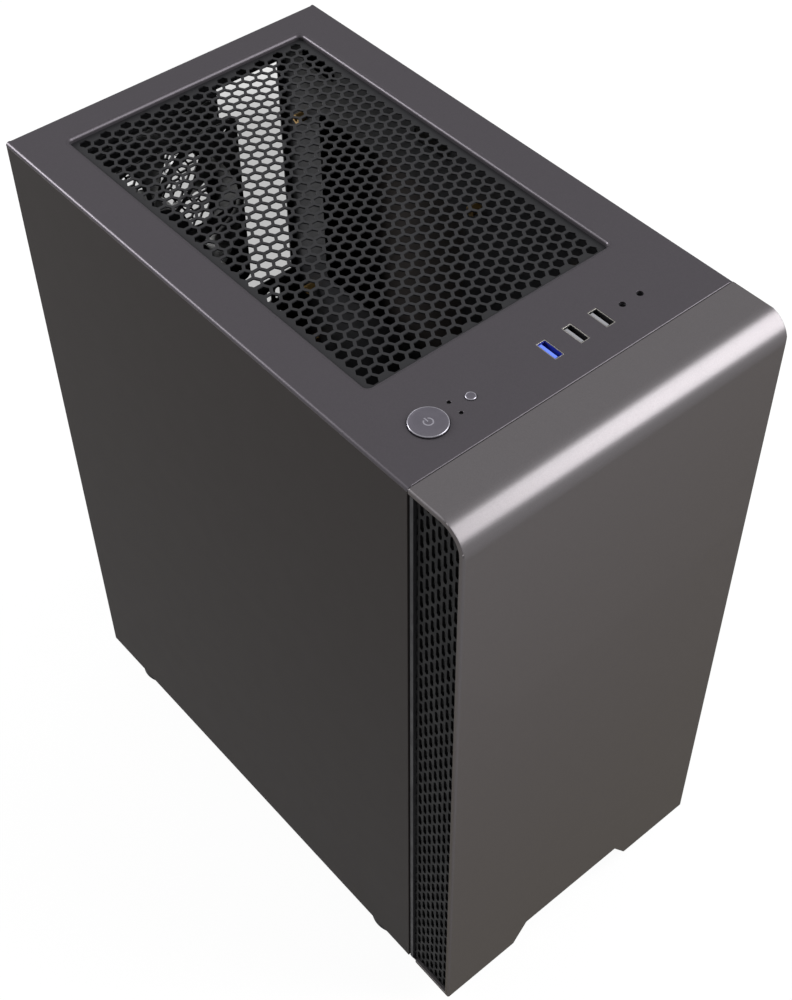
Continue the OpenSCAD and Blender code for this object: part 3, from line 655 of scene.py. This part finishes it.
def rolled_rim(name, loop, radius, depth):
    """A ring that lines an opening: its top rolls over from the panel into a wall of the given depth."""
    steps = 8
    profile = [(radius, depth), (radius, 0)]
    for k in range(1, steps + 1):
        turn = math.pi / 2 * k / steps
        profile.append((radius * (1 - math.sin(turn)), radius * (1 - math.cos(turn))))
    profile.append((0, depth))
    shape = bmesh.new()
    rings = []
    for point, mitre in loop:
        section = [point - mitre * out - Vector((0, 0, down)) for out, down in profile]
        rings.append([shape.verts.new(place) for place in section])
    for first, second in zip(rings, rings[1:] + rings[:1]):
        bridge(shape, first, second)
    mesh = closed_mesh(name, shape)
    for face in mesh.polygons:
        face.use_smooth = True
    corner = math.radians(50)
    mesh.set_sharp_from_angle(angle=corner)
    return mesh_piece(name, mesh)


class TOWER_OT_panels(bpy.types.Operator):
    """Rounds and paints the top panel and the two side panels"""

    bl_idname = "tower.panels"
    bl_label = "Panels"

    def execute(self, context):
        finishes = context.scene.case_finishes
        sizes = context.scene.case_sizes
        low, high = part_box("top_panel")
        flat = high.x - sizes.side_fold

        def softness(edge):
            """Front and rear folds are soft along the flat top, openings nearly sharp, the sides as drawn."""
            place = [vert.co for vert in edge.verts]
            if max(abs(p.x) for p in place) > flat + TOUCHING:
                return 0.0
            at_front = all(p.y < low.y + NEAR for p in place)
            at_rear = all(p.y > high.y - NEAR for p in place)
            on_top = all(p.z > high.z - TOUCHING for p in place)
            return 1.0 if (at_front or at_rear) and on_top else sizes.seam_edge / sizes.fold_edge

        top = sheet_paint("top_paint", finishes.top, metallic=0.6, roughness=0.38, edge_tint=0.4)
        shape = merged("top_panel")
        loop = window_loop(shape, low, high, sizes.control_strip, sizes.window_border)
        widened(shape, loop, sizes.rim_roll, sizes.window_wall)
        for x in (-flat, flat):
            whole = [*shape.verts, *shape.edges, *shape.faces]
            bmesh.ops.bisect_plane(
                shape, geom=whole, dist=SAME, plane_co=(x, 0, 0), plane_no=(1, 0, 0)
            )
        softened("top_panel", shape, sizes.fold_edge, top, 3, softness)
        rim = rolled_rim("window_rim", loop, sizes.rim_roll, high.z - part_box("top_mesh")[1].z)
        place_piece(rim, BODY_OF["top_panel"], SLOT_OF["top_panel"], top)
        side = sheet_paint("side_paint", finishes.side, metallic=0.5, roughness=0.5, edge_tint=0.15)
        for node in ("left_panel", "right_panel"):
            softened(node, merged(node), sizes.sheet_edge, side)
        return {"FINISHED"}


class TOWER_OT_bezel(bpy.types.Operator):
    """Rounds and lacquers the front bezel"""

    bl_idname = "tower.bezel"
    bl_label = "Front bezel"

    def execute(self, context):
        sizes = context.scene.case_sizes
        low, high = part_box("front_bezel")
        curve, wall = sizes.bezel_curve, sizes.bezel_wall
        shape = merged("front_bezel")
        true_curve(shape, low.y + curve, high.z - curve, (curve, curve - wall))

        def softness(edge):
            """The rear edge that meets the top panel is sharper."""
            rear = min(vert.co.y for vert in edge.verts) > high.y - NEAR
            return sizes.bezel_seam_edge / sizes.bezel_edge if rear else 1.0

        lacquer = metallic_lacquer(context.scene.case_finishes.bezel)
        softened("front_bezel", shape, sizes.bezel_edge, lacquer, 3, softness)
        return {"FINISHED"}


def reach(node, low, high):
    """The greatest distance from a part's own vertical axis to its points between two heights."""
    corner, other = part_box(node)
    x, y = (corner.x + other.x) / 2, (corner.y + other.y) / 2
    points = [v.co for v in NODES[node].data.vertices if low <= v.co.z <= high]
    return max(math.hypot(p.x - x, p.y - y) for p in points)


def button(node, face, rim, rim_width):
    """A push button: dished face, bright turned rim, retaining flange and stem."""
    low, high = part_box(node)
    centre = Vector(((low.x + high.x) / 2, (low.y + high.y) / 2, high.z))
    below_rim = high.z - 0.3 * MM
    cap = reach(node, below_rim - NEAR / 2, below_rim + NEAR / 2)
    flange = (high.x - low.x) / 2
    points = [v.co for v in NODES[node].data.vertices]
    heights = [p.z for p in points if math.hypot(p.x - centre.x, p.y - centre.y) > cap + 2 * NEAR]
    stem = reach(node, low.z, low.z + TOUCHING)
    dish = cap - rim_width
    # From the middle of the face over the rim, then down the cap to the flange and the stem.
    profile = [
        (0, high.z - 0.22 * MM),
        (dish * 0.6, high.z - 0.19 * MM),
        (dish, high.z - 0.12 * MM),
        (dish + rim_width * 0.25, high.z - 0.02 * MM),
        (dish + rim_width * 0.4, high.z),
        (dish + rim_width * 0.6, high.z - 0.04 * MM),
        (cap, below_rim - NEAR),
        (cap, max(heights)),
        (flange, max(heights)),
        (flange, min(heights)),
        (stem, min(heights)),
        (stem, low.z),
        (0, low.z),
    ]
    mesh = lathe(node + "_turned", profile, centre)
    piece = mesh_piece(node + "_turned", mesh)
    mesh.materials.append(face)
    mesh.materials.append(rim)
    for polygon in mesh.polygons:
        out = math.hypot(polygon.center.x - centre.x, polygon.center.y - centre.y)
        polygon.material_index = int(out > dish and polygon.center.z > below_rim - NEAR - TOUCHING)
        polygon.use_smooth = polygon.center.z > below_rim
    place_piece(piece, BODY_OF[node], SLOT_OF[node], replaces=[node])


def power_mark(centre, radius, stroke, low, high):
    """A standby mark, a ring open at the rear with a bar in the gap, as a thin inlay."""
    shape = bmesh.new()
    gap, steps = 32, 40
    turns = [math.radians(90 + gap + (360 - 2 * gap) * k / steps) for k in range(steps + 1)]
    outer = [(radius * math.cos(t), radius * math.sin(t)) for t in turns]
    inside = radius - stroke
    inner = [(inside * math.cos(t), inside * math.sin(t)) for t in reversed(turns)]
    half, start, end = stroke / 2, radius * 0.1, radius * 1.15
    bar = [(-half, start), (half, start), (half, end), (-half, end)]
    for outline in (outer + inner, bar):
        floor = [shape.verts.new((centre.x + x, centre.y + y, low)) for x, y in outline]
        lid = [shape.verts.new((centre.x + x, centre.y + y, high)) for x, y in outline]
        shape.faces.new(floor)
        shape.faces.new(lid)
        bridge(shape, floor, lid)
    return mesh_piece("power_mark", closed_mesh("power_mark", shape))


class TOWER_OT_controls(bpy.types.Operator):
    """Turns the power and reset buttons and inlays the standby mark"""

    bl_idname = "tower.controls"
    bl_label = "Controls"

    def execute(self, context):
        finishes, sizes = context.scene.case_finishes, context.scene.case_sizes
        rim = turned_rim()
        for node in ("power_button", "reset_button"):
            low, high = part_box(node)
            face = spun_face(finishes.button, (low + high) / 2)
            button(node, face, rim, sizes.button_rim)
        low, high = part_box("power_button")
        foot, face = high.z - 0.3 * MM, high.z - 0.16 * MM
        mark = power_mark((low + high) / 2, sizes.mark_radius, sizes.mark_stroke, foot, face)
        place_piece(mark, BODY_OF["power_button"], SLOT_OF["power_button"], printed_mark())
        return {"FINISHED"}


def contact_tree(gold):
    """Gold strips side by side."""
    lengths = dict.fromkeys(("Pitch", "Width", "Length", "Thickness"), "Float")
    tree, given = grow_tree("contacts", {"Count": "Int", **lengths})
    step = add(tree, "ShaderNodeCombineXYZ", {"Y": given["Pitch"]}).outputs[0]
    line = add(tree, "GeometryNodeMeshLine", {"Count": given["Count"], "Offset": step}).outputs[0]
    sides = {"X": given["Thickness"], "Y": given["Width"], "Z": given["Length"]}
    size = add(tree, "ShaderNodeCombineXYZ", sides).outputs[0]
    strip = add(tree, "GeometryNodeMeshCube", {"Size": size}).outputs[0]
    row = add(tree, "GeometryNodeInstanceOnPoints", {"Points": line, "Instance": strip}).outputs[0]
    close_tree(tree, row, gold)
    return tree


def rectangular_ring(name, centre, inner, outer, low, high):
    """A level rectangular ring between an inner and an outer size, from one height to another."""
    shape = bmesh.new()
    corners = ((-0.5, -0.5), (0.5, -0.5), (0.5, 0.5), (-0.5, 0.5))
    loops = []
    for (width, depth), z in ((outer, low), (outer, high), (inner, high), (inner, low)):
        places = [(centre.x + i * width, centre.y + j * depth, z) for i, j in corners]
        loops.append([shape.verts.new(place) for place in places])
    for first, second in zip(loops, loops[1:] + loops[:1]):
        bridge(shape, first, second)
    piece = mesh_piece(name, closed_mesh(name, shape))
    bevel = piece.modifiers.new("Rounded edges", "BEVEL")
    bevel.width, bevel.segments = 0.08 * MM, 2
    return piece


class TOWER_OT_sockets(bpy.types.Operator):
    """Adds the lips and contacts of the front sockets, dark liners in them that are painted shade, and the
    sleeves of the jacks
    """

    bl_idname = "tower.sockets"
    bl_label = "Sockets"

    def execute(self, context):
        nickel = bpy.data.materials["nickel_plate"]
        # Painted shade: the dark liners stand in for the shade deep in the sockets; the navy one also carries
        # the blue of the USB 3 insert.
        navy, black = dyed_nylon("navy_nylon_and_painted_shade", "#16227e"), dyed_nylon("black_painted_shade", "#101012")
        contacts = contact_tree(gold_flash())
        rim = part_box("usb_shells")[1].z
        tongue_low, tongue_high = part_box("usb3_tongue")
        inside = tongue_high - tongue_low
        spacing = (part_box("usb2_tongues")[1].x - tongue_high.x) / 2

        def opening(extra):
            """The size of a socket's mouth, made larger."""
            return inside.x + extra, inside.y + extra

        mouth, lip_size = opening(0), opening(0.9 * MM)
        painted_shade_liner_size, painted_shade_liner_hole = opening(-0.02 * MM), opening(-0.5 * MM)
        lip_low, lip_high = rim - 0.2 * MM, rim + 0.15 * MM
        painted_shade_liner_low, painted_shade_liner_high = rim - 9 * MM, rim - 0.1 * MM
        count, pitch, strip = 4, 2.33 * MM, 6.4 * MM
        strips = {"Count": count, "Pitch": pitch, "Width": MM, "Length": strip, "Thickness": 0.12 * MM}
        for k in range(3):
            centre = (tongue_low + tongue_high) / 2 + Vector((k * spacing, 0, 0))
            lip = rectangular_ring(f"usb_lip_{k + 1}", centre, mouth, lip_size, lip_low, lip_high)
            place_piece(lip, "chassis", "bright_steel", nickel)
            # Each socket gets a dark liner of painted shade, navy in the first, black in the others.
            painted_shade_liner = rectangular_ring(
                f"usb_liner_{k + 1}", centre, painted_shade_liner_hole, painted_shade_liner_size, painted_shade_liner_low, painted_shade_liner_high
            )
            place_piece(painted_shade_liner, "chassis", "black_plastic" if k else "usb_blue", black if k else navy)
            face = tongue_low.x + k * spacing + 2.3 * MM
            first = centre.y - (count - 1) / 2 * pitch
            place = Matrix.Translation((face, first, tongue_high.z - strip / 2 - 0.5 * MM))
            place_piece(grown(f"usb_contacts_{k + 1}", contacts, strips, place), "chassis", "brass")
        jack_low, jack_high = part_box("audio_jacks")
        body, bore, sleeve = 4.5 * MM, 1.8 * MM, 1.66 * MM
        top, bottom = jack_high.z - 3.4 * MM, jack_high.z - 6.4 * MM
        profile = [(bore, top), (sleeve, top - 0.1 * MM), (sleeve, bottom), (bore, bottom)]
        for k, x in enumerate((jack_low.x + body, jack_high.x - body)):
            axis = Vector((x, (tongue_low.y + tongue_high.y) / 2, top))
            mesh = lathe(f"jack_sleeve_{k + 1}", profile, axis, steps=48, closed=True)
            place_piece(mesh_piece(f"jack_sleeve_{k + 1}", mesh), "chassis", "bright_steel", nickel)
        return {"FINISHED"}


def thread_tree(material):
    """A rolled thread: a ridge of triangular section that climbs a shank."""
    inputs = dict.fromkeys(("Pitch", "Turns", "Radius", "Depth"), "Float")
    tree, given = grow_tree("thread", inputs)
    rise = add(tree, "ShaderNodeMath", {0: given["Pitch"], 1: given["Turns"]}, operation="MULTIPLY")
    spiral = add(
        tree,
        "GeometryNodeCurveSpiral",
        {
            "Resolution": 24,
            "Rotations": given["Turns"],
            "Start Radius": given["Radius"],
            "End Radius": given["Radius"],
            "Height": rise.outputs[0],
        },
    )
    ridge = add(tree, "GeometryNodeCurvePrimitiveCircle", {"Resolution": 3, "Radius": given["Depth"]})
    cut = add(
        tree,
        "GeometryNodeCurveToMesh",
        {"Curve": spiral.outputs[0], "Profile Curve": ridge.outputs[0], "Fill Caps": True},
    )
    close_tree(tree, cut.outputs[0], material)
    return tree


class TOWER_OT_screws(bpy.types.Operator):
    """Rolls the threads of the thumbscrews"""

    bl_idname = "tower.screws"
    bl_label = "Screws"

    def execute(self, context):
        pitch = context.scene.case_sizes.thread_pitch
        tree = thread_tree(bpy.data.materials["zinc_plate"])
        values = {"Pitch": pitch, "Turns": 8.0, "Radius": 1.6 * MM, "Depth": 0.18 * MM}
        for node in [name for name in NODES if name.startswith("thumbscrew")]:
            low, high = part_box(node)
            middle = (low + high) / 2
            upright = Matrix.Translation((middle.x, low.y + pitch, middle.z)) @ TO_REAR
            place_piece(grown(node + "_thread", tree, values, upright), BODY_OF[node], SLOT_OF[node])
        return {"FINISHED"}


def weave_tree(material):
    """Threads in two directions over a rectangle, one layer on the other."""
    tree, given = grow_tree("weave", dict.fromkeys(("Size X", "Size Y", "Pitch", "Thread"), "Float"))
    layers = []
    for axis, across, lift in (("X", "Y", 0.5), ("Y", "X", 0.0)):
        size, thread = given["Size " + axis], given["Thread"]
        count = add(tree, "ShaderNodeMath", {0: size, 1: given["Pitch"]}, operation="DIVIDE")
        whole = add(tree, "ShaderNodeMath", {0: count.outputs[0]}, operation="FLOOR")
        start = add(tree, "ShaderNodeMath", {0: size, 1: -0.5}, operation="MULTIPLY")
        level = add(tree, "ShaderNodeMath", {0: thread, 1: lift}, operation="MULTIPLY")
        first = add(tree, "ShaderNodeCombineXYZ", {axis: start.outputs[0], "Z": level.outputs[0]})
        step = add(tree, "ShaderNodeCombineXYZ", {axis: given["Pitch"]})
        line = add(
            tree,
            "GeometryNodeMeshLine",
            {"Count": whole.outputs[0], "Start Location": first.outputs[0], "Offset": step.outputs[0]},
        )
        sides = {axis: thread, across: given["Size " + across], "Z": thread}
        block = add(tree, "ShaderNodeCombineXYZ", sides).outputs[0]
        strand = add(tree, "GeometryNodeMeshCube", {"Size": block}).outputs[0]
        rows = {"Points": line.outputs[0], "Instance": strand}
        layers.append(add(tree, "GeometryNodeInstanceOnPoints", rows).outputs[0])
    joined = add(tree, "GeometryNodeJoinGeometry")
    for layer in layers:
        tree.links.new(layer, joined.inputs[0])
    close_tree(tree, joined.outputs[0], material)
    return tree


class TOWER_OT_filter(bpy.types.Operator):
    """Weaves the mesh of the bottom filter"""

    bl_idname = "tower.filter"
    bl_label = "Bottom filter"

    def execute(self, context):
        low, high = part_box("psu_filter")
        pitch = context.scene.case_sizes.weave_pitch
        tree = weave_tree(bpy.data.materials["woven_filter"])
        border, grip, lift = 4 * MM, 3 * MM, 0.75 * MM
        middle = (low + high) / 2
        values = {
            "Size X": high.x - low.x - 2 * border,
            "Size Y": high.y - low.y - 2 * border - grip,
            "Pitch": pitch,
            "Thread": pitch * 0.3,
        }
        place = Matrix.Translation((middle.x + pitch / 2, middle.y - grip / 2, low.z + lift))
        place_piece(grown("filter_weave", tree, values, place), BODY_OF["psu_filter"], "filter_mesh")
        return {"FINISHED"}


# ---------------------------------------------------------------- studio


def lamp(name, target, direction, distance, size, radiance):
    """A soft lamp of a width and a height, unseen by the camera, that shines at a target."""
    light = bpy.data.lights.new(name, "AREA")
    light.shape = "RECTANGLE"
    light.size, light.size_y = size
    light.energy = radiance * math.pi * size[0] * size[1]
    holder = bpy.data.objects.new(name, light)
    way = Vector(direction).normalized()
    tall = way.cross((1, 0, 0)).normalized()
    turn = Matrix((tall.cross(way), tall, way)).transposed().to_4x4()
    holder.matrix_world = Matrix.Translation(target + way * distance) @ turn
    holder.visible_camera = False
    bpy.context.scene.collection.objects.link(holder)


def seen_directly(tree):
    """1 for rays that show the surroundings: from the camera, a glossy surface or a clear one."""
    path = add(tree, "ShaderNodeLightPath").outputs
    first = path["Is Camera Ray"]
    for ray in ("Is Glossy Ray", "Is Transmission Ray"):
        first = add(tree, "ShaderNodeMath", {0: first, 1: path[ray]}, operation="MAXIMUM").outputs[0]
    return first


def studio_floor(shadow, shade, low, high):
    """White paper that stays white to the eye and keeps part of the shadow; behind the case a painted shadow
    makes it greyer.
    """
    material = bpy.data.materials.new("paper_sweep")
    material.use_nodes = True
    tree = material.node_tree
    tree.nodes.clear()
    paper = add(tree, "ShaderNodeBsdfDiffuse", {"Color": (0.9, 0.9, 0.9, 1)})
    width, depth = high.x - low.x, high.y - low.y
    # The painted shadow is a grey ellipse, cast by no lamp, that starts under the case and reaches out behind
    # its right side.
    painted_shadow_patch = {
        "Vector": add(tree, "ShaderNodeTexCoord").outputs["Object"],
        "Location": (1.15 * width, 1.16 * depth, 0),
        "Rotation": (0, 0, math.radians(58)),
        "Scale": (1.13 * depth, width, 1),
    }
    place = add(tree, "ShaderNodeMapping", painted_shadow_patch, vector_type="TEXTURE")
    away = add(tree, "ShaderNodeVectorMath", {0: place.outputs[0]}, operation="LENGTH").outputs["Value"]
    ramp = {0: away, 1: 0.55, 2: 1.0, 3: shade, 4: 1.0}
    painted_shadow_fade = add(tree, "ShaderNodeMapRange", ramp, interpolation_type="SMOOTHSTEP")
    glow = add(tree, "ShaderNodeEmission", {"Color": (1, 1, 1, 1), "Strength": painted_shadow_fade.outputs[0]})
    part = add(tree, "ShaderNodeMath", {0: seen_directly(tree), 1: 1 - shadow}, operation="MULTIPLY")
    both = add(tree, "ShaderNodeMixShader", {0: part.outputs[0], 1: paper.outputs[0], 2: glow.outputs[0]})
    add(tree, "ShaderNodeOutputMaterial", {"Surface": both.outputs[0]})
    return material


class TOWER_OT_stage(bpy.types.Operator):
    """Sets the camera, the floor, the lamps and the room's light"""

    bl_idname = "tower.stage"
    bl_label = "Stage"

    def execute(self, context):
        scene, stage = context.scene, context.scene.case_stage
        lens = bpy.data.cameras.new("camera")
        lens.lens, lens.shift_x, lens.shift_y = stage.lens, *stage.shift
        lens.clip_start, lens.clip_end = 0.01, 50
        camera = bpy.data.objects.new("camera", lens)
        flat = math.cos(stage.elevation)
        side, front = math.sin(stage.azimuth) * flat, math.cos(stage.azimuth) * flat
        back = Vector((side, -front, math.sin(stage.elevation)))
        turn = (-back).to_track_quat("-Z", "Y").to_matrix().to_4x4() @ Matrix.Rotation(stage.roll, 4, "Z")
        camera.matrix_world = Matrix.Translation(stage.camera_at) @ turn
        scene.collection.objects.link(camera)
        scene.camera = camera

        low, high = CAD_BOX
        floor, half = bpy.data.meshes.new("floor"), 6.0
        corners = [(x, y, low.z) for x, y in ((-half, -half), (half, -half), (half, half), (-half, half))]
        floor.from_pydata(corners, [], [(0, 1, 2, 3)])
        floor.materials.append(studio_floor(stage.shadow, stage.shade, low, high))
        mesh_piece("floor", floor)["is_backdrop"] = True

        # Both lamps shine at the curve at the top of the bezel.
        brow = Vector((0.03, low.y, high.z))
        right_front, left_rear = (0.66, -0.535, 0.525), (-0.46, 0.81, 0.36)
        lamp("key", brow, right_front, distance=2.0, size=(1.35, 2.0), radiance=stage.key)
        lamp("rear_left", brow, left_rear, distance=2.2, size=(0.5, 0.9), radiance=stage.rim)

        world = bpy.data.worlds.new("room")
        world.use_nodes = True
        tree = world.node_tree
        tree.nodes.clear()
        strength = add(tree, "ShaderNodeMapRange", {0: seen_directly(tree), 3: stage.ambient, 4: 1.0})
        room = add(tree, "ShaderNodeBackground", {"Color": (1, 1, 1, 1), "Strength": strength.outputs[0]})
        add(tree, "ShaderNodeOutputWorld", {"Surface": room.outputs[0]})
        scene.world = world
        scene.view_settings.view_transform = "Standard"
        return {"FINISHED"}


# ---------------------------------------------------------------- add-on

OPERATORS = (
    TOWER_OT_stage,
    TOWER_OT_chassis,
    TOWER_OT_panels,
    TOWER_OT_bezel,
    TOWER_OT_controls,
    TOWER_OT_sockets,
    TOWER_OT_screws,
    TOWER_OT_filter,
)


class TOWER_PT_case(bpy.types.Panel):
    """Lists the settings and the steps of the case"""

    bl_idname = "TOWER_PT_case"
    bl_label = "Mini-tower case"
    bl_space_type = "VIEW_3D"
    bl_region_type = "UI"
    bl_category = "Case"

    def draw(self, context):
        for group in (context.scene.case_finishes, context.scene.case_sizes, context.scene.case_stage):
            box = self.layout.box()
            for name in group.__annotations__:
                box.prop(group, name)
        for operator in OPERATORS:
            self.layout.operator(operator.bl_idname)


CLASSES = (CaseFinishes, CaseSizes, CaseStage, *OPERATORS, TOWER_PT_case)


def register():
    """Registers the classes and hangs the settings on the scene."""
    for cls in CLASSES:
        bpy.utils.register_class(cls)
    bpy.types.Scene.case_finishes = PointerProperty(type=CaseFinishes)
    bpy.types.Scene.case_sizes = PointerProperty(type=CaseSizes)
    bpy.types.Scene.case_stage = PointerProperty(type=CaseStage)


def unregister():
    """Takes the settings and the classes away again."""
    del bpy.types.Scene.case_stage, bpy.types.Scene.case_sizes, bpy.types.Scene.case_finishes
    for cls in reversed(CLASSES):
        bpy.utils.unregister_class(cls)


def main():
    """Runs every step in order."""
    register()
    for operator in OPERATORS:
        group, name = operator.bl_idname.split(".")
        getattr(getattr(bpy.ops, group), name)()
    boxes = {"cad": CAD_BOX, "visual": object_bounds()}
    {name: [list(corner) for corner in box] for name, box in boxes.items()}


if __name__ == "__main__":
    main()
